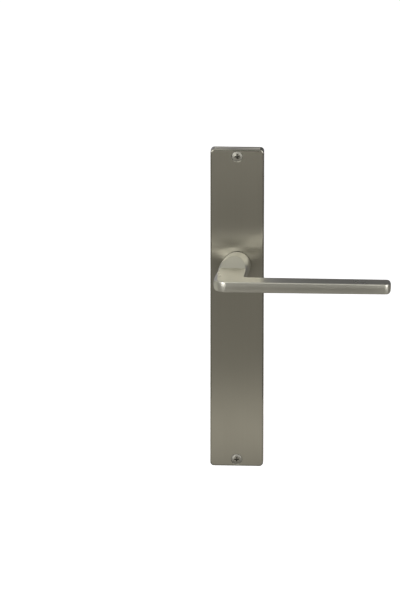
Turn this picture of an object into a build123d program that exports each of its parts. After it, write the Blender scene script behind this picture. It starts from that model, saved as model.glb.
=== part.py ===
from build123d import *
import math
import os

# Sprung lever handle on a long backplate.
# Frame: origin on the turning axis where it meets the door, +X along the lever, +Z up,
# the door at y = 0 and everything seen in use at negative y. Sizes in millimetres.

# Spindle and the lever's hub, from the inside outwards
spindle_side = 8.0
spindle_chamfer = 0.5
spindle_reach = 52.0
spindle_in_neck = 16.5
socket_spare = 0.5
spigot_wall = 1.5
spigot_round = 3.0
journal_shoulder = 2.0
neck_shoulder = 1.7
circlip_thickness = 1.0
circlip_groove_depth = 0.35
circlip_width = 2.65
rear_washer_thickness = 0.5
rear_washer_margin = 3.0
spigot_overhang = 0.95
grub_diameter = 5.0
grub_length = 6.0
grub_behind_face = 6.5
grub_socket = 2.5

# Bearing
bush_wall = 1.0
bush_set_back = 0.1
boss_wall = 1.3
thrust_thickness = 0.5
thrust_margin = 0.2

# Return mechanism
spring_wire = 1.4
spring_play = 0.6
spring_pitch = 1.45
spring_end_play = 0.15
spring_leg = 3.2
post_angle = 330.0
post_half = 1.5
drive_thickness = 1.2
ear_overlap = 2.1
ear_half_angle = 12.0
tab_angle = 270.0
tab_half = 1.75
travel = 45.0
stop_play = 0.6
stop_angle = 14.0
cover_thickness = 1.0
cover_land = 6.0
cover_ledge = 1.0
cover_screw = 2.5
cover_screw_head = 4.5
cover_screw_length = 4.4
cover_screw_inset = 7.0
pocket_side_room = 1.0
pocket_end_room = 10.0

# Backplate
plate_height = 261.0
axis_above_centre = 36.6
face_thickness = 2.0
wall_thickness = 2.8
corner_radius = 3.0
edge_radius = 1.0
rib_thickness = 1.6
rib_set_back = 1.0
rib_spacing = 34.0

# Fixing screws
screw_inset = 5.7
screw_shank = 4.0
screw_core = 2.9
screw_head = 8.2
screw_crown = 0.5
screw_reach = 17.0
screw_plain = 1.5
screw_point = 4.0
screw_hole_clearance = 0.25
countersink_margin = 0.35
lug_wall = 1.5
recess_across = 4.2
recess_wing = 0.95
recess_depth = 2.2

# Neck and hand grip
neck_cut_start = 10.8
flat_start = 22.0
neck_spread = 3.4
neck_taper = 2.0
neck_edge_radius = 1.1
grip_front = 56.7
grip_back = 42.9
grip_tip = 121.0
grip_half_at_neck = 4.4
grip_half_at_tip = 4.08
grip_crown_radius = 24.0
grip_edge_radius = 1.0
grip_inner_side = 3.2
heel_spread = 3.6
heel_radius = 10.5
tip_front_radius = 4.5
tip_back_radius = 4.0
tip_corner_radius = 3.0
heel_corner_radius = 3.8
inner_corner_radius = 2.6

# Clearances
running = 0.05
gap = 0.3
seat = 0.02

# Across the turning axis
spigot_flats = spindle_side + 2 * spigot_wall
spigot_diameter = spigot_flats + spigot_round
journal_diameter = spigot_diameter + 2 * journal_shoulder
neck_radius = journal_diameter / 2 + neck_shoulder
bush_diameter = journal_diameter + 2 * bush_wall
boss_diameter = bush_diameter + 2 * boss_wall
thrust_diameter = 2 * (neck_radius - thrust_margin)
spring_radius = boss_diameter / 2 + spring_play + spring_wire / 2
stop_inner = spring_radius + spring_wire / 2 + spring_play
drive_radius = stop_inner - 3 * gap
ear_radius = stop_inner + ear_overlap
stop_outer = ear_radius + gap
tab_inner = (stop_inner + ear_radius - drive_thickness) / 2
pocket_width = 2 * (ear_radius + pocket_side_room)
pocket_height = 2 * (ear_radius + pocket_end_room)
cover_width = pocket_width + 2 * cover_ledge
cover_height = pocket_height + 2 * cover_land
cover_hole = spigot_diameter + 1
plate_width = cover_width + 2 * wall_thickness

# Along the turning axis, counted from the door
leg_play = spring_wire / 2 + running
fixed_leg = post_angle + math.degrees(math.asin((post_half + leg_play) / stop_inner))
moving_leg = tab_angle - math.degrees(math.asin((tab_half + leg_play) / tab_inner))
spring_rise = spring_pitch * (360 + fixed_leg - moving_leg) / 360
drive_rear = cover_thickness + gap
drive_front = drive_rear + drive_thickness
boss_end = drive_front + gap
cavity_depth = drive_front + spring_rise + spring_wire + 2 * spring_end_play
spring_front = cavity_depth - spring_end_play - spring_wire / 2
plate_depth = cavity_depth + face_thickness
neck_start = thrust_thickness + gap
spindle_depth = plate_depth + spindle_in_neck
circlip_front = gap + rear_washer_thickness
spigot_end = circlip_front + circlip_thickness + spigot_overhang

# Up and down the plate
plate_centre = -axis_above_centre
screw_places = (
    plate_centre + plate_height / 2 - screw_inset,
    plate_centre - plate_height / 2 + screw_inset,
)
countersink_width = screw_head + 2 * countersink_margin
cover_screw_side = cover_width / 2 - cover_screw_inset
cover_screw_row = (cover_height - cover_land) / 2

# Form of the neck and the grip
grip_taper = (grip_half_at_neck - grip_half_at_tip) / grip_tip
neck_slope = (neck_radius - grip_half_at_neck) / (flat_start - neck_cut_start)
grip_left = -(neck_radius + neck_spread + 0.4)
grip_right = neck_radius - grip_inner_side


def seen_from_front(y, x=0.0, z=0.0):
    """Sketch plane across the turning axis, drawn as seen from the room."""
    return Plane(origin=(x, y, z), x_dir=(1, 0, 0), z_dir=(0, -1, 0))


def rod(radius, y_from, y_to, x=0.0, z=0.0):
    """Round solid along the turning axis between two depths."""
    low, high = min(y_from, y_to), max(y_from, y_to)
    return extrude(seen_from_front(high, x, z) * Circle(radius), high - low)


def block(width, height, y_from, y_to, x=0.0, z=0.0):
    """Rectangular solid between two depths."""
    low, high = min(y_from, y_to), max(y_from, y_to)
    return extrude(seen_from_front(high, x, z) * Rectangle(width, height), high - low)


def ring(outer, inner, y_from, y_to):
    return rod(outer, y_from, y_to) - rod(inner, y_from, y_to)


def sector(inner, outer, from_angle, to_angle, y_from, y_to):
    """Part of a ring between two angles, counted from +X towards +Z."""
    def at(radius, angle):
        turn = math.radians(angle)
        return (radius * math.cos(turn), radius * math.sin(turn))

    middle = (from_angle + to_angle) / 2
    outline = make_face([
        ThreePointArc(at(outer, from_angle), at(outer, middle), at(outer, to_angle)),
        Line(at(outer, to_angle), at(inner, to_angle)),
        ThreePointArc(at(inner, to_angle), at(inner, middle), at(inner, from_angle)),
        Line(at(inner, from_angle), at(outer, from_angle)),
    ])
    low, high = min(y_from, y_to), max(y_from, y_to)
    return extrude(seen_from_front(high) * outline, high - low)


def at_angle(solid, angle):
    """Turn a solid about the turning axis, counted from +X towards +Z."""
    return solid.rotate(Axis.Y, -angle)


def outer_shell():
    """Plate with rounded corners and a soft edge round its face."""
    outline = RectangleRounded(plate_width, plate_height, corner_radius)
    shell = extrude(seen_from_front(0, 0, plate_centre) * outline, plate_depth)
    face_edges = shell.edges().group_by(Axis.Y)[0]
    return fillet(face_edges, edge_radius)


def cored_back():
    """Everything taken out of the plate from behind, ribs and lugs left standing."""
    inner_width = plate_width - 2 * wall_thickness
    inner_height = plate_height - 2 * wall_thickness
    hollow = extrude(
        seen_from_front(0, 0, plate_centre)
        * RectangleRounded(inner_width, inner_height, corner_radius / 2),
        cavity_depth,
    )
    hollow -= block(inner_width, cover_height, 0, -plate_depth)
    hollow -= block(rib_thickness, inner_height, -rib_set_back, -cavity_depth, 0, plate_centre)
    for screw, side in zip(screw_places, (1, -1)):
        start = side * cover_height / 2
        bays = max(1, round(abs(screw - start) / rib_spacing))
        for bay in range(1, bays):
            height = start + (screw - start) * bay / bays
            hollow -= block(inner_width, rib_thickness, -rib_set_back, -cavity_depth, 0, height)
        hollow -= rod(countersink_width / 2 + lug_wall, 0, -plate_depth, 0, screw)
    return hollow


def mechanism_pocket():
    """Pocket for the spring and drive plate, with a step that the cover lies on."""
    pocket = block(cover_width, cover_height, 0, -cover_thickness)
    pocket += block(pocket_width, pocket_height, -cover_thickness, -cavity_depth)
    return pocket


def stops_and_post():
    """Cast stops for the drive plate's ear and the post that holds the spring's fixed leg."""
    edge_play = math.degrees(stop_play / 2 / ear_radius)
    rest_side = 90 + ear_half_angle + edge_play
    open_side = 90 - travel - ear_half_angle - edge_play
    rest = sector(stop_inner, stop_outer, rest_side, rest_side + stop_angle,
                  -drive_rear, -cavity_depth - 0.5)
    full = sector(stop_inner, stop_outer, open_side - stop_angle, open_side,
                  -drive_rear, -cavity_depth - 0.5)
    post_top = -spring_front + spring_wire / 2 + gap
    post = block(stop_outer - stop_inner, 2 * post_half, post_top, -cavity_depth - 0.5,
                 (stop_inner + stop_outer) / 2)
    return rest + full + at_angle(post, post_angle)


def make_backplate():
    """Cast plate: flat face, cored back, neck bore, countersunk screw holes, spring pocket."""
    plate = outer_shell() - cored_back() - mechanism_pocket()
    plate += stops_and_post()
    plate += rod(boss_diameter / 2, -boss_end, -plate_depth + edge_radius)
    plate -= rod(bush_diameter / 2, 1, -plate_depth - 1)
    for height in screw_places:
        depth = (countersink_width - screw_shank) / 2 - screw_hole_clearance
        hole = rod(screw_shank / 2 + screw_hole_clearance, 1, -plate_depth - 1, 0, height)
        sink = seen_from_front(-plate_depth + depth, 0, height) * Pos(0, 0, depth / 2) * Cone(
            screw_shank / 2 + screw_hole_clearance, countersink_width / 2, depth
        )
        plate = plate - hole - sink
    for x in (-cover_screw_side, cover_screw_side):
        for z in (-cover_screw_row, cover_screw_row):
            plate -= rod(cover_screw / 2 + seat, 0, -cover_thickness - cover_screw_length + 0.6, x, z)
    return plate


def make_neck_bush():
    """Plain bearing pressed into the plate's bore."""
    return ring(bush_diameter / 2, journal_diameter / 2 + running,
                -boss_end, -plate_depth + bush_set_back)


def make_thrust_washer():
    """Dark washer between the plate's face and the lever's neck."""
    return ring(thrust_diameter / 2, journal_diameter / 2 + gap / 2,
                -plate_depth, -plate_depth - thrust_thickness)


def side_view(left, right, spare=0.0):
    """Side view of the bar between two places: a slow taper towards the tip."""
    at_left = grip_half_at_neck - grip_taper * left + spare
    at_right = grip_half_at_neck - grip_taper * right + spare
    return make_face(Polyline(
        (left, at_left), (right, at_right), (right, -at_right), (left, -at_left), close=True
    ))


def crown_cutter(path):
    """What the crowned sides of the bar leave out, swept along its outline."""
    half = grip_half_at_neck + 2.5
    rim = grip_crown_radius - math.sqrt(grip_crown_radius ** 2 - half ** 2)
    ahead = path % 0
    across = Plane(origin=path @ 0, x_dir=(-ahead.Y, ahead.X, 0), z_dir=ahead)
    section = make_face([
        ThreePointArc((-seat - rim, -half), (-seat, 0), (-seat - rim, half)),
        *Polyline((-seat - rim, half), (1, half), (1, -half), (-seat - rim, -half)).edges(),
    ])
    return sweep(across * section, path=path, transition=Transition.RIGHT)


def grip_slab():
    """The L-shaped bar: forward from the neck, round the heel, along the grip to its tip."""
    plan = Plane(origin=(0, -plate_depth, 0), x_dir=(1, 0, 0), z_dir=(0, 0, -1))
    start = flat_start - 4
    corners = (
        (grip_left + 2.8, start), (grip_left + 0.4, start + 11), (grip_left - heel_spread, grip_front),
        (grip_tip, grip_front), (grip_tip, grip_back), (grip_right, grip_back),
        (grip_right + 0.7, start + 8), (grip_right, start),
    )
    radii = (20.0, heel_radius, tip_front_radius, tip_back_radius, inner_corner_radius, 12.0)
    side = FilletPolyline(*corners, radius=radii)
    outline = make_face([*side.edges(), Line(corners[-1], corners[0])])
    slab = plan.location * (extrude(outline, grip_half_at_neck + 2, both=True) - crown_cutter(side))
    buried = -(plate_depth + start + 1)
    slab &= extrude(seen_from_front(buried) * side_view(-30, grip_tip + 5), grip_front)
    rims = [
        edge for edge in slab.edges()
        if edge.bounding_box().size.Z < 1 and abs(edge.center().Y - buried) > 0.1
    ]
    slab = fillet(rims, grip_edge_radius)
    ends = slab.bounding_box()
    view = side_view(ends.min.X, ends.max.X, seat)
    view = fillet(view.vertices().group_by(Axis.X)[-1], tip_corner_radius)
    view = fillet(view.vertices().group_by(Axis.X)[0], heel_corner_radius)
    return slab & extrude(seen_from_front(-plate_depth) * view, grip_front + 10)


def neck_body():
    """Round neck that widens to the left and is cut away to the thickness of the grip."""
    run = flat_start - neck_start
    faces = []
    for share in (0.0, 0.2, 0.53, 1.0, 1.38):
        left = neck_radius + neck_spread * math.sin(math.radians(90 * share))
        right = neck_radius - neck_taper * share ** 2
        plane = seen_from_front(-(plate_depth + neck_start + share * run))
        faces.append(plane * Pos((right - left) / 2, 0) * Ellipse((right + left) / 2, neck_radius))
    body = loft(faces)
    top = neck_radius + 3
    shoulder = flat_start - (top - grip_half_at_neck) / neck_slope
    end = grip_half_at_neck / 3
    run_out = flat_start + (grip_half_at_neck - end) / neck_slope
    side = Plane(origin=(0, -plate_depth, 0), x_dir=(0, -1, 0), z_dir=(-1, 0, 0))
    kept = make_face(Polyline(
        (neck_start, top), (shoulder, top), (run_out, end), (run_out, -end),
        (shoulder, -top), (neck_start, -top), close=True
    ))
    body &= extrude(side * kept, 40, both=True)
    cut_rims = [
        edge for edge in body.edges()
        if edge.bounding_box().size.Y > 5 and abs(edge.center().Z) > grip_half_at_neck
    ]
    return fillet(cut_rims, neck_edge_radius)


def make_lever():
    """One casting: grip, neck, journal, spigot, square socket and grub screw hole."""
    lever = grip_slab() + neck_body()
    lever += rod(journal_diameter / 2, -drive_front, -plate_depth - neck_start - 1)
    spigot = rod(spigot_diameter / 2, spigot_end, -drive_front - 1)
    spigot &= block(spigot_flats, spigot_diameter + 2, spigot_end, -drive_front - 1)
    spigot -= ring(spigot_diameter, spigot_diameter / 2 - circlip_groove_depth,
                   circlip_front, circlip_front + circlip_thickness + running)
    lever += spigot
    socket = spindle_side + 2 * running
    lever -= block(socket, socket, spigot_end + 1, -spindle_depth - socket_spare)
    grub_hole = Cylinder(grub_diameter / 2 + seat, neck_radius + 2)
    lever -= Pos(0, -plate_depth - grub_behind_face, -(neck_radius + 2) / 2) * grub_hole
    return lever


def make_spindle():
    """Square bar that carries the turn into the latch."""
    bar = block(spindle_side, spindle_side, spindle_reach, -spindle_depth)
    ends = bar.edges().group_by(Axis.Y)
    return chamfer(ends[0] + ends[-1], spindle_chamfer)


def make_grub_screw():
    """Hexagon socket grub screw that bears on the spindle from below."""
    top = -spindle_side / 2 - seat
    body = Pos(0, 0, top - grub_length / 2) * Cylinder(grub_diameter / 2, grub_length)
    body = chamfer(body.edges().filter_by(GeomType.CIRCLE), 0.5)
    socket = extrude(
        Plane(origin=(0, 0, top - grub_length), z_dir=(0, 0, 1))
        * RegularPolygon(grub_socket / 2, 6, major_radius=False), 2.6
    )
    return Pos(0, -plate_depth - grub_behind_face, 0) * (body - socket)


def make_drive_plate():
    """Stamped plate on the spigot: ear for the stops, bent tab for the spring's moving leg."""
    plate = rod(drive_radius, -drive_rear, -drive_front)
    plate += sector(drive_radius - 2, ear_radius, 90 - ear_half_angle, 90 + ear_half_angle,
                    -drive_rear, -drive_front)
    tab_reach = spring_rise - spring_front - spring_wire / 2 - gap
    arm = block(ear_radius - drive_radius + 2, 2 * tab_half, -drive_rear, -drive_front,
                (ear_radius + drive_radius - 2) / 2)
    tab = block(drive_thickness, 2 * tab_half, -drive_rear, tab_reach,
                tab_inner + drive_thickness / 2)
    plate += at_angle(arm + tab, tab_angle)
    hole = rod(spigot_diameter / 2 + running, 0, -plate_depth)
    hole &= block(spigot_flats + 2 * running, spigot_diameter + 2, 0, -plate_depth)
    return plate - hole


def make_return_spring():
    """Torsion spring round the bearing boss, its two legs bent outwards."""
    path = Helix(spring_pitch, spring_rise, spring_radius)
    section = Plane(origin=path @ 0, z_dir=path % 0) * Circle(spring_wire / 2)
    coil = sweep(section, path=path, is_frenet=True).rotate(Axis.X, -90)
    spring = at_angle(Pos(0, -spring_front, 0) * coil, fixed_leg)
    for y, angle in ((-spring_front, fixed_leg), (spring_rise - spring_front, moving_leg)):
        leg = Pos(spring_radius + spring_leg / 2, y, 0) * Rot(0, 90, 0) * Cylinder(
            spring_wire / 2, spring_leg
        )
        leg += Pos(spring_radius, y, 0) * Sphere(spring_wire / 2)
        spring += at_angle(leg, angle)
    return spring


def make_cover():
    """Pressed cover that closes the spring pocket flush with the back of the plate."""
    cover = block(cover_width - 2 * running, cover_height - 2 * running, 0, -cover_thickness)
    cover -= rod(cover_hole / 2, 1, -plate_depth)
    for x in (-cover_screw_side, cover_screw_side):
        for z in (-cover_screw_row, cover_screw_row):
            cover -= seen_from_front(0, x, z) * Pos(0, 0, cover_thickness / 2) * Cone(
                cover_screw_head / 2 + seat, cover_screw / 2 + seat, cover_thickness
            )
    return cover


def cross_recess(across, wing, depth):
    """Cross-shaped driver recess, narrowing with depth, cut from its mouth at the origin."""
    cross = Box(across, wing, depth) + Box(wing, across, depth)
    return Pos(0, 0, -depth / 2) * (cross & Cone(across * 0.2, across / 2, depth))


def make_cover_screws():
    """Four small countersunk screws that hold the cover."""
    screws = []
    for x in (-cover_screw_side, cover_screw_side):
        for z in (-cover_screw_row, cover_screw_row):
            head = seen_from_front(0, x, z) * Pos(0, 0, cover_thickness / 2) * Cone(
                cover_screw_head / 2, cover_screw / 2, cover_thickness
            )
            screw = head + rod(cover_screw / 2, -cover_thickness / 2,
                               -cover_thickness - cover_screw_length + 1, x, z)
            mouth = Plane(origin=(x, 0, z), x_dir=(1, 0, 0), z_dir=(0, 1, 0))
            screws.append(screw - mouth * cross_recess(2.4, 0.5, 0.9))
    return Compound(screws)


def make_screw(height):
    """Countersunk cross-head wood screw: slightly raised head, plain shank, core and point."""
    head_rim = -plate_depth + countersink_margin
    under_head = head_rim + (screw_head - screw_shank) / 2
    crown_top = head_rim - screw_crown
    crest, core = screw_shank / 2, screw_core / 2
    outline = Polyline(
        (screw_head / 2, head_rim), (crest, under_head), (crest, screw_plain),
        (core, screw_plain + crest - core), (core, screw_reach - screw_point), (0, screw_reach),
        (0, crown_top),
    )
    crown = ThreePointArc(
        (0, crown_top), (screw_head / 4, crown_top + screw_crown / 4), (screw_head / 2, head_rim)
    )
    screw = revolve(make_face([*outline.edges(), crown]), Axis.Y)
    mouth = seen_from_front(crown_top - 0.1)
    screw -= mouth * cross_recess(recess_across, recess_wing, recess_depth)
    return Pos(0, 0, height) * screw


def make_rear_washer():
    """Flat washer between the cover and the retaining ring."""
    return ring(spigot_diameter / 2 + rear_washer_margin, spigot_diameter / 2 + 2 * running,
                gap, circlip_front)


def make_circlip():
    """Open retaining ring in the spigot's groove, with two eyes for pliers."""
    rear = circlip_front + circlip_thickness
    inner = spigot_diameter / 2 - circlip_groove_depth
    outer = inner + circlip_width
    clip = ring(outer, inner, circlip_front, rear)
    clip -= block(3.4, 2 * outer, circlip_front - 1, rear + 1, 0, -outer)
    for x in (-2.9, 2.9):
        clip += rod(1.5, circlip_front, rear, x, 0.4 - outer)
        clip -= rod(0.7, circlip_front - 1, rear + 1, x, 0.4 - outer)
    return clip


nodes = {
    "backplate": make_backplate(),
    "neck_bush": make_neck_bush(),
    "thrust_washer": make_thrust_washer(),
    "lever": make_lever(),
    "spindle": make_spindle(),
    "grub_screw": make_grub_screw(),
    "drive_plate": make_drive_plate(),
    "return_spring": make_return_spring(),
    "cover": make_cover(),
    "cover_screws": make_cover_screws(),
    "rear_washer": make_rear_washer(),
    "circlip": make_circlip(),
    "screw_upper": make_screw(screw_places[0]),
    "screw_lower": make_screw(screw_places[1]),
}

os.makedirs("parts", exist_ok=True)
for name, solid in nodes.items():
    export_step(solid, "parts/" + name + ".step")
    print(name, round(solid.volume, 1), "mm3", len(solid.solids()), "solid(s)")
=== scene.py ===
import math

import bpy
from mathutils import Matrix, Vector


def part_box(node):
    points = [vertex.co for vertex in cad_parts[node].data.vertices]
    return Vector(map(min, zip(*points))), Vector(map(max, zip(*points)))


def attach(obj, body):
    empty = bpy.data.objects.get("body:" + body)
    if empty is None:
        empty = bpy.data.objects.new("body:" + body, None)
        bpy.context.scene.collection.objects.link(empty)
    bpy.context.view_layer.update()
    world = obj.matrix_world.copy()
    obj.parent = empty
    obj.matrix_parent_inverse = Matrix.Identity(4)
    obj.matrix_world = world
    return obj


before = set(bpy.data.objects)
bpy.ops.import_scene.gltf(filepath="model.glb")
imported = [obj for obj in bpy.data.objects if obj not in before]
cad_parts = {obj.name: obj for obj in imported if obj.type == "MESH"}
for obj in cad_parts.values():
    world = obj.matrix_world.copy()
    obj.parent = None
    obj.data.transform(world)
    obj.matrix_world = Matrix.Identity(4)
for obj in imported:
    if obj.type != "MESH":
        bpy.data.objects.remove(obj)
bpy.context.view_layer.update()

# Lengths are in metres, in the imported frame: +X along the lever, +Y into the door, +Z up.
# Everything seen in use is at negative Y.

# Brushing. Streaks are so many times as wide and as long as grooves.
GROOVE_WIDTH = 0.00012
GROOVE_LENGTH = 0.018
STREAK_TIMES = 9
STAINS_PER_METRE = (45.0, 45.0, 28.0)
ALONG_LEVER, ALONG_HEIGHT = 0, 2

# Edge colour: how far from an edge it reaches, and how much of it shows there. Lighter edge colour is
# wear, darker is painted shade.
EDGE_WEAR_AND_SHADE_REACH = 0.0008
EDGE_WEAR_AND_SHADE_SHARE = 0.35
# Painted shade near corners: the colour is multiplied by this there.
NOOK_SHADE_TONE = (0.72, 0.72, 0.71)

# A noise value hardly ever leaves this range.
NOISE_LOW, NOISE_HIGH = 0.3, 0.7
CLOUDS_PER_METRE = (900.0, 900.0, 900.0)
MOULD_MARKS_PER_METRE = (2500.0, 2500.0, 2500.0)

# Screw heads: radii of the polished crown and of the rougher rim, whose colour is darkened as painted
# shade, and the pitch of the turning marks
CROWN_RADIUS, RIM_RADIUS = 0.0023, 0.0032
TURNING_PITCH = 0.00022

# Surroundings
FLOOR = -0.30
FLOOR_HALF_WIDTH = 6
CEILING = 3
CEILING_SPLIT = -0.2
GLOW_Y = -0.5

# Camera, in degrees as seen from the handle. The shifts put the handle where the photo has it.
AZIMUTH, ELEVATION, REACH = 2.2, 18.5, 6.0
PIXELS_PER_METRE = 1283.0
IMAGE_HEIGHT = 600.0
SENSOR_MM = 36.0
LEFT_PIXELS, DOWN_PIXELS = 36.9, 35.5
PLATE_FACE_Y = -0.008


# Node helpers

def new_material(name):
    """An empty node material with its principled shader."""
    material = bpy.data.materials.new(name)
    material.use_nodes = True
    tree = material.node_tree
    shader = tree.nodes["Principled BSDF"]
    return material, tree, shader


def node(tree, kind, **properties):
    """A node with some of its properties set."""
    made = tree.nodes.new(kind)
    for key, value in properties.items():
        setattr(made, key, value)
    return made


def calc(tree, operation, *values):
    """One math node. Each value is a socket or a plain number."""
    made = node(tree, "ShaderNodeMath", operation=operation)
    for place, value in enumerate(values):
        if isinstance(value, (int, float)):
            made.inputs[place].default_value = value
        else:
            tree.links.new(value, made.inputs[place])
    return made.outputs[0]


def spread(tree, value, low, high, from_low=NOISE_LOW, from_high=NOISE_HIGH):
    """Maps a value from one range to another."""
    made = node(tree, "ShaderNodeMapRange")
    made.inputs["From Min"].default_value = from_low
    made.inputs["From Max"].default_value = from_high
    made.inputs["To Min"].default_value = low
    made.inputs["To Max"].default_value = high
    tree.links.new(value, made.inputs["Value"])
    return made.outputs["Result"]


def scaled(color, times):
    """A colour made darker or lighter."""
    return tuple(channel * times for channel in color)


def blend(tree, first, second, factor, blend_type="MIX"):
    """Mixes two colours by a factor. Each is a socket or a plain colour."""
    made = node(tree, "ShaderNodeMix", data_type="RGBA", blend_type=blend_type)
    for side, value in (("A", first), ("B", second)):
        if isinstance(value, tuple):
            made.inputs[side].default_value = (*value, 1)
        else:
            tree.links.new(value, made.inputs[side])
    tree.links.new(factor, made.inputs["Factor"])
    return made.outputs["Result"]


def grain(tree, scales, detail, rough):
    """Noise in the object's own space, with its own scale on each axis."""
    place = node(tree, "ShaderNodeTexCoord")
    stretch = node(tree, "ShaderNodeMapping")
    stretch.inputs["Scale"].default_value = scales
    noise = node(tree, "ShaderNodeTexNoise")
    noise.inputs["Scale"].default_value = 1.0
    noise.inputs["Detail"].default_value = detail
    noise.inputs["Roughness"].default_value = rough
    tree.links.new(place.outputs["Object"], stretch.inputs["Vector"])
    tree.links.new(stretch.outputs["Vector"], noise.inputs["Vector"])
    return noise.outputs["Fac"]


def add_bump(tree, shader, height, strength, depth):
    """Fine relief in the shading."""
    bump = node(tree, "ShaderNodeBump")
    bump.inputs["Strength"].default_value = strength
    bump.inputs["Distance"].default_value = depth
    tree.links.new(height, bump.inputs["Height"])
    tree.links.new(bump.outputs["Normal"], shader.inputs["Normal"])


def openness(tree, reach):
    """1 in the open, less within reach of a corner or another surface."""
    made = node(tree, "ShaderNodeAmbientOcclusion", samples=8)
    made.inputs["Distance"].default_value = reach
    return made.outputs["AO"]


def between_faces(tree):
    """0 where a surface faces along an axis, 1 on the roundings between such faces."""
    place = node(tree, "ShaderNodeTexCoord")
    parts = node(tree, "ShaderNodeSeparateXYZ")
    tree.links.new(place.outputs["Normal"], parts.inputs[0])
    along_x, along_y, along_z = [calc(tree, "ABSOLUTE", parts.outputs[axis]) for axis in "XYZ"]
    widest = calc(tree, "MAXIMUM", calc(tree, "MAXIMUM", along_x, along_y), along_z)
    return spread(tree, widest, low=1.0, high=0.0, from_low=0.996, from_high=0.9998)


def edge_wear_and_shade_mask(tree):
    """Above 0 only beside sharp edges."""
    edge_bevel = node(tree, "ShaderNodeBevel", samples=4)
    edge_bevel.inputs["Radius"].default_value = EDGE_WEAR_AND_SHADE_REACH
    flat = node(tree, "ShaderNodeNewGeometry")
    meet = node(tree, "ShaderNodeVectorMath", operation="DOT_PRODUCT")
    tree.links.new(edge_bevel.outputs["Normal"], meet.inputs[0])
    tree.links.new(flat.outputs["Normal"], meet.inputs[1])
    return spread(tree, meet.outputs["Value"], low=EDGE_WEAR_AND_SHADE_SHARE, high=0.0, from_low=0.80, from_high=0.99)


# Materials

def brushed_metal(name, color, rough, along, anisotropy, turn, edge_rough, edge_wear_and_shade_tone, depth, dark,
                  rounding_shade_tone=1.0, nook_shade_reach=0.0):
    """Brushed metal: grooves along one axis, broad streaks, soft stains, recoloured edges.
    Highlights stretch across the grooves, round the axis called turn. Roundings have the
    roughness edge_rough, and edges take edge_wear_and_shade_tone times the colour: wear where it
    is above 1, painted shade where it is below 1. rounding_shade_tone darkens the roundings as
    painted shade, and painted shade gathers within nook_shade_reach metres of a corner."""
    material, tree, shader = new_material(name)
    shader.inputs["Metallic"].default_value = 1.0
    shader.inputs["Anisotropic"].default_value = anisotropy
    groove = [1 / GROOVE_WIDTH] * 3
    groove[along] = 1 / GROOVE_LENGTH
    streak = [scale / STREAK_TIMES for scale in groove]
    fine_grain = grain(tree, groove, detail=3.0, rough=0.7)
    broad_grain = grain(tree, streak, detail=2.0, rough=0.5)
    stain = grain(tree, STAINS_PER_METRE, detail=4.0, rough=0.6)
    rounding = between_faces(tree)

    broad_share, fine_share = 0.6, 0.4
    streaks = calc(tree, "MULTIPLY_ADD", spread(tree, broad_grain, low=0.0, high=1.0), broad_share,
                   spread(tree, fine_grain, low=0.0, high=fine_share))
    tone = blend(tree, scaled(color, dark), color, streaks)
    # Edge colour: lighter than the colour is wear, darker is painted shade.
    tone = blend(tree, tone, scaled(color, edge_wear_and_shade_tone), edge_wear_and_shade_mask(tree))
    # Painted shade on the roundings.
    if rounding_shade_tone < 1.0:
        tone = blend(tree, tone, (rounding_shade_tone, rounding_shade_tone, rounding_shade_tone), rounding, "MULTIPLY")
    # Painted shade near corners and other surfaces.
    if nook_shade_reach:
        nook_shade = spread(tree, openness(tree, nook_shade_reach), low=1.0, high=0.0, from_low=0.45, from_high=0.97)
        tone = blend(tree, tone, NOOK_SHADE_TONE, nook_shade, "MULTIPLY")
    tree.links.new(tone, shader.inputs["Base Color"])

    gloss = calc(tree, "ADD", spread(tree, broad_grain, low=rough * 0.99, high=rough * 1.01),
                 spread(tree, stain, low=-0.02, high=0.03))
    smooth = node(tree, "ShaderNodeMix")
    smooth.inputs["B"].default_value = edge_rough
    tree.links.new(gloss, smooth.inputs["A"])
    tree.links.new(rounding, smooth.inputs["Factor"])
    tree.links.new(smooth.outputs["Result"], shader.inputs["Roughness"])

    add_bump(tree, shader, fine_grain, strength=0.5, depth=depth)
    tangent = node(tree, "ShaderNodeTangent", direction_type="RADIAL", axis=turn)
    tree.links.new(tangent.outputs["Tangent"], shader.inputs["Tangent"])
    return material


def plated_steel(name, color, rough):
    """Small plated part: cloudy tone and gloss."""
    material, tree, shader = new_material(name)
    shader.inputs["Metallic"].default_value = 1.0
    cloud = grain(tree, CLOUDS_PER_METRE, detail=4.0, rough=0.6)
    tone = blend(tree, scaled(color, 0.8), color, spread(tree, cloud, low=0.0, high=1.0))
    tree.links.new(tone, shader.inputs["Base Color"])
    gloss = spread(tree, cloud, low=rough * 1.25, high=rough * 0.8)
    tree.links.new(gloss, shader.inputs["Roughness"])
    add_bump(tree, shader, cloud, strength=0.3, depth=0.00002)
    return material


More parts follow.
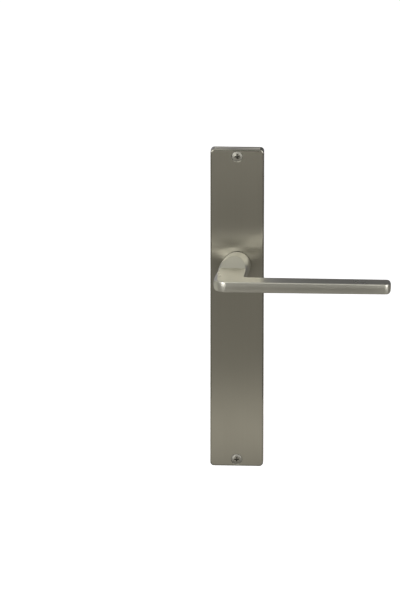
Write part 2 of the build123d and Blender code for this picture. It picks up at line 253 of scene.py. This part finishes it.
def screw_finish(name, color, axes):
    """Nickel plated wood screw: polished crown, rougher rim darkened with painted shade, painted
    shade in the cross, turning marks round the head. axes are the heights of the two screws' axes."""
    material, tree, shader = new_material(name)
    shader.inputs["Metallic"].default_value = 1.0

    # Distance from the nearer screw's axis
    place = node(tree, "ShaderNodeTexCoord")
    parts = node(tree, "ShaderNodeSeparateXYZ")
    tree.links.new(place.outputs["Object"], parts.inputs[0])
    middle, half = sum(axes) / 2, abs(axes[0] - axes[1]) / 2
    away = calc(tree, "ABSOLUTE", calc(tree, "SUBTRACT", parts.outputs["Z"], middle))
    flat = node(tree, "ShaderNodeCombineXYZ")
    tree.links.new(parts.outputs["X"], flat.inputs["X"])
    tree.links.new(calc(tree, "SUBTRACT", away, half), flat.inputs["Z"])
    length = node(tree, "ShaderNodeVectorMath", operation="LENGTH")
    tree.links.new(flat.outputs[0], length.inputs[0])
    radius = length.outputs["Value"]
    outer = spread(tree, radius, low=0.0, high=1.0, from_low=CROWN_RADIUS, from_high=RIM_RADIUS)

    cloud = grain(tree, CLOUDS_PER_METRE, detail=4.0, rough=0.6)
    # The rim's colour is darker than the crown's: painted shade.
    rim_shaded = blend(tree, color, scaled(color, 0.58), outer)
    # Painted shade in crevices such as the cross recess.
    clear_of_recess_shade = spread(tree, openness(tree, reach=0.0018), low=0.0, high=1.0, from_low=0.35, from_high=0.9)
    tree.links.new(blend(tree, scaled(color, 0.28), rim_shaded, clear_of_recess_shade), shader.inputs["Base Color"])
    rim_roughness = 0.22
    gloss = calc(tree, "MULTIPLY_ADD", outer, rim_roughness, spread(tree, cloud, low=0.24, high=0.16))
    tree.links.new(gloss, shader.inputs["Roughness"])

    wave = calc(tree, "SINE", calc(tree, "MULTIPLY", radius, math.tau / TURNING_PITCH))
    add_bump(tree, shader, wave, strength=0.3, depth=0.000004)
    return material


def moulded_polymer(name, color):
    """Dull black bearing polymer with a fine moulded grain."""
    material, tree, shader = new_material(name)
    cloud = grain(tree, MOULD_MARKS_PER_METRE, detail=3.0, rough=0.6)
    tree.links.new(blend(tree, scaled(color, 0.7), color, cloud), shader.inputs["Base Color"])
    tree.links.new(spread(tree, cloud, low=0.4, high=0.6), shader.inputs["Roughness"])
    add_bump(tree, shader, cloud, strength=0.4, depth=0.00002)
    return material


def middle_height(node_name):
    """The height of a CAD node's middle."""
    low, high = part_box(node_name)
    return (low[2] + high[2]) / 2


# The plate's darker edges, darker roundings and darkening near corners are painted shade. The lever's
# lighter edges are wear.
plate_nickel = brushed_metal(
    "plate_nickel", color=(0.50, 0.482, 0.415), rough=0.30, along=ALONG_HEIGHT, anisotropy=1.0,
    turn="Z", edge_rough=0.06, edge_wear_and_shade_tone=0.7, depth=0.0000015, dark=0.97, rounding_shade_tone=0.6, nook_shade_reach=0.012)
lever_nickel = brushed_metal(
    "lever_nickel", color=(0.50, 0.489, 0.435), rough=0.29, along=ALONG_LEVER, anisotropy=0.35,
    turn="X", edge_rough=0.32, edge_wear_and_shade_tone=1.15, depth=0.000002, dark=0.95)
screw_axes = [middle_height("screw_upper"), middle_height("screw_lower")]
screw_nickel = screw_finish("screw_nickel", color=(0.50, 0.485, 0.43), axes=screw_axes)
zinc = plated_steel("zinc_plate", color=(0.56, 0.57, 0.58), rough=0.32)
black_steel = plated_steel("black_steel", color=(0.10, 0.10, 0.105), rough=0.38)
polymer = moulded_polymer("bearing_polymer", color=(0.03, 0.03, 0.03))

FINISH = {
    "backplate": plate_nickel, "lever": lever_nickel,
    "screw_upper": screw_nickel, "screw_lower": screw_nickel,
    "neck_bush": polymer, "thrust_washer": polymer,
    "spindle": zinc, "cover": zinc, "cover_screws": zinc, "drive_plate": zinc, "rear_washer": zinc,
    "grub_screw": black_steel, "return_spring": black_steel, "circlip": black_steel,
}
for name, material in FINISH.items():
    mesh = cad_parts[name].data
    mesh.materials.clear()
    mesh.materials.append(material)


# Threads

def wood_thread(name, node_name, body):
    """The thread of a wood screw: a sharp ridge wound round the core, dying out at both ends."""
    height = middle_height(node_name)
    low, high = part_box(node_name)
    core, crest, pitch, half_width = 0.00142, 0.00199, 0.0017, 0.00042
    first, taper, tip = 0.0022, 0.0105, high[1] - 0.0006
    run_in_turns = 0.6
    steps = 36

    # Shares of the core, the ridge's height and its width that are left at the tip
    tip_core, tip_rise, tip_width = 0.12, 0.25, 0.3

    rings = []
    for i in range(int((tip - first) / pitch * steps) + 1):
        turn = i / steps
        y = first + pitch * turn
        narrow = 1.0 if y < taper else max(0.0, (tip - y) / (tip - taper))
        grow = min(1.0, turn / run_in_turns)
        inner = core * (tip_core + (1 - tip_core) * narrow)
        outer = inner + (crest - core) * grow * (tip_rise + (1 - tip_rise) * narrow)
        half = half_width * (tip_width + (1 - tip_width) * narrow)
        angle = math.tau * turn
        ring = [(inner, -half), (outer, 0.0), (inner, half)]
        rings.append([(r * math.cos(angle), y + dy, height + r * math.sin(angle)) for r, dy in ring])
    points = [Vector(p) for ring in rings for p in ring]
    faces = [(0, 1, 2), (len(points) - 1, len(points) - 2, len(points) - 3)]
    for i in range(len(rings) - 1):
        for j in range(3):
            a, b = 3 * i + j, 3 * i + (j + 1) % 3
            faces.append((a, a + 3, b + 3, b))
    mesh = bpy.data.meshes.new(name)
    mesh.from_pydata(points, [], faces)
    mesh.validate()
    mesh.materials.append(screw_nickel)
    made = bpy.data.objects.new(name, mesh)
    bpy.context.collection.objects.link(made)
    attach(made, body)


wood_thread("thread_upper", "screw_upper", "plate_body")
wood_thread("thread_lower", "screw_lower", "plate_body")


# Helpers for the surroundings

def towards(azimuth, elevation, reach):
    """A place as seen from the handle: azimuth 0 straight in front, + to the right, 180 behind."""
    a, e = math.radians(azimuth), math.radians(elevation)
    return Vector((math.sin(a) * math.cos(e), -math.cos(a) * math.cos(e), math.sin(e))) * reach


def level(x_from, x_to, y_from, y_to, z):
    """The corners of a level rectangle."""
    return [(x_from, y_from, z), (x_to, y_from, z), (x_to, y_to, z), (x_from, y_to, z)]


def upright(x_from, x_to, y, z_from, z_to):
    """The corners of an upright rectangle that faces along Y."""
    return [(x_from, y, z_from), (x_to, y, z_from), (x_to, y, z_to), (x_from, y, z_to)]


def disc(radius, above_floor):
    """The corners of a level disc below the handle."""
    sides = 64
    return [(radius * math.cos(math.tau * i / sides), radius * math.sin(math.tau * i / sides),
             FLOOR + above_floor) for i in range(sides)]


def sheet(name, corners):
    """A flat sheet that isn't part of the object."""
    mesh = bpy.data.meshes.new(name)
    mesh.from_pydata([Vector(c) for c in corners], [], [tuple(range(len(corners)))])
    made = bpy.data.objects.new(name, mesh)
    bpy.context.collection.objects.link(made)
    return made


def card(name, corners, tone):
    """A sheet of even brightness that only gloss shows."""
    made = sheet(name, corners)
    material = bpy.data.materials.new(name)
    material.use_nodes = True
    tree = material.node_tree
    tree.nodes.clear()
    glow = node(tree, "ShaderNodeEmission")
    glow.inputs["Color"].default_value = (*tone, 1)
    out = node(tree, "ShaderNodeOutputMaterial")
    tree.links.new(glow.outputs[0], out.inputs["Surface"])
    made.data.materials.append(material)
    made.visible_camera = False
    made.visible_diffuse = False
    made.visible_shadow = False
    made.visible_transmission = False


def facing_card(name, azimuth, elevation, width, height, tone, reach=2.6):
    """A card that faces the handle from a direction."""
    centre = towards(azimuth, elevation, reach)
    side = towards(azimuth + 90, 0, width / 2)
    rise = centre.cross(side).normalized() * (height / 2)
    card(name, (centre - side - rise, centre + side - rise, centre + side + rise,
                centre - side + rise), tone)


def lamp(name, azimuth, elevation, width, height, brightness):
    """Soft rectangular lamp that faces the handle, with the brightness its own face shows."""
    reach = 2.0
    data = bpy.data.lights.new(name, "AREA")
    data.shape = "RECTANGLE"
    data.size, data.size_y = width, height
    data.energy = brightness * math.pi * width * height
    made = bpy.data.objects.new(name, data)
    bpy.context.collection.objects.link(made)
    made.location = towards(azimuth, elevation, reach)
    made.visible_camera = False
    made.rotation_mode = "QUATERNION"
    made.rotation_quaternion = (-made.location).to_track_quat("-Z", "Y")


def pale_floor():
    """Pale floor below the handle. It keeps shadows and clears to white where none fall."""
    half = FLOOR_HALF_WIDTH
    made = sheet("floor", level(-half, half, -half, half, FLOOR))
    material, tree, shader = new_material("floor")
    shader.inputs["Base Color"].default_value = (0.92, 0.92, 0.92, 1)
    shader.inputs["Roughness"].default_value = 0.9
    shader.inputs["Specular IOR Level"].default_value = 0.0
    shader.inputs["Emission Color"].default_value = (1, 1, 1, 1)
    path = node(tree, "ShaderNodeLightPath")
    lift = calc(tree, "MULTIPLY", path.outputs["Is Camera Ray"], 0.55)
    tree.links.new(lift, shader.inputs["Emission Strength"])
    made.data.materials.append(material)


def studio_world():
    """White for what looks straight at it or is mirrored, plain grey for the light it gives."""
    world = bpy.data.worlds.new("studio")
    bpy.context.scene.world = world
    world.use_nodes = True
    tree = world.node_tree
    tree.nodes.clear()
    path = node(tree, "ShaderNodeLightPath")
    seen = calc(tree, "MAXIMUM", path.outputs["Is Camera Ray"], path.outputs["Is Glossy Ray"])
    seen = calc(tree, "MAXIMUM", seen, path.outputs["Is Transmission Ray"])
    sky = node(tree, "ShaderNodeBackground")
    sky.inputs["Color"].default_value = (1, 1, 1, 1)
    out = node(tree, "ShaderNodeOutputWorld")
    strength = spread(tree, seen, low=0.5, high=1.0, from_low=0.0, from_high=1.0)
    tree.links.new(strength, sky.inputs["Strength"])
    tree.links.new(sky.outputs[0], out.inputs["Surface"])


# Surroundings

pale_floor()
studio_world()

# The plate shows these two in its wide highlight, and the lever's flat and neck mirror the plate.
lamp("left_lamp", azimuth=-29, elevation=15, width=1.1, height=1.7, brightness=3.8)
lamp("right_lamp", azimuth=38, elevation=15, width=1.3, height=1.7, brightness=3.1)

# The plate mirrors the floor, its lower end the near disc and the rest the far one. The close disc
# is for the grip's lower rounding.
card("floor_close", disc(0.37, 0.006), tone=(0.30, 0.29, 0.265))
card("floor_near", disc(0.54, 0.004), tone=(0.57, 0.55, 0.50))
card("floor_far", disc(6.0, 0.002), tone=(0.285, 0.275, 0.25))

# front_flag darkens what mirrors the room in front of the handle. The next two are for the left
# sides of heel and neck, the last for the right ones.
facing_card("front_flag", azimuth=-2, elevation=22, width=1.4, height=2.9, tone=(0.10, 0.098, 0.09),
            reach=3.0)
left_corners = [(-2, -0.35), (-0.3, -0.1), (-0.3, 0.6), (-2, 1.0)]
card("floor_left", [(x, y, FLOOR + 0.008) for x, y in left_corners], tone=(0.62, 0.62, 0.56))
facing_card("left_flag", azimuth=-90, elevation=10, width=2.2, height=3.4, tone=(0.58, 0.585, 0.53))
facing_card("right_flag", azimuth=92, elevation=10, width=2.2, height=2.6, tone=(0.26, 0.26, 0.24))

# The back and the ceiling tone the plate's top edge, the grip's upper facet and the neck's cut face.
facing_card("back_flag", azimuth=180, elevation=25, width=6.0, height=3.6, tone=(0.45, 0.44, 0.46))
card("back_near", upright(0.015, 0.6, 0.3, -0.1, 0.45), tone=(0.17, 0.17, 0.175))
card("ceiling_front", level(-3, 3, -3, CEILING_SPLIT, CEILING), tone=(1.0, 1.01, 0.96))
card("ceiling_back", level(-3, 3, CEILING_SPLIT, 3, CEILING), tone=(0.42, 0.42, 0.41))
card("cut_glow", level(-0.30, -0.015, -0.30, -0.06, 0.30), tone=(1.8, 1.8, 1.7))

# The grip's front is lighter at both ends and darker between them.
card("left_glow", upright(-0.19, -0.065, GLOW_Y, -0.03, 0.4), tone=(1.5, 1.5, 1.42))
card("arm_flag", upright(0.024, 0.094, GLOW_Y, -0.27, -0.11), tone=(0.07, 0.068, 0.062))
card("right_glow", upright(0.155, 0.28, GLOW_Y, -0.03, 0.4), tone=(2.4, 2.4, 2.27))


# Camera

back = towards(AZIMUTH, ELEVATION, 1.0)
right = towards(AZIMUTH + 90, 0, 1.0)
up = back.cross(right)
pivot = Vector((0, PLATE_FACE_Y, 0))
aim = pivot - right * (LEFT_PIXELS / PIXELS_PER_METRE) - up * (DOWN_PIXELS / PIXELS_PER_METRE)
lens = bpy.data.cameras.new("camera")
lens.lens = PIXELS_PER_METRE * REACH * SENSOR_MM / IMAGE_HEIGHT
lens.clip_end = 50
camera = bpy.data.objects.new("camera", lens)
bpy.context.collection.objects.link(camera)
camera.location = pivot + back * REACH
camera.rotation_mode = "QUATERNION"
camera.rotation_quaternion = (aim - camera.location).to_track_quat("-Z", "Y")
bpy.context.scene.camera = camera
bpy.context.scene.view_settings.view_transform = "Standard"
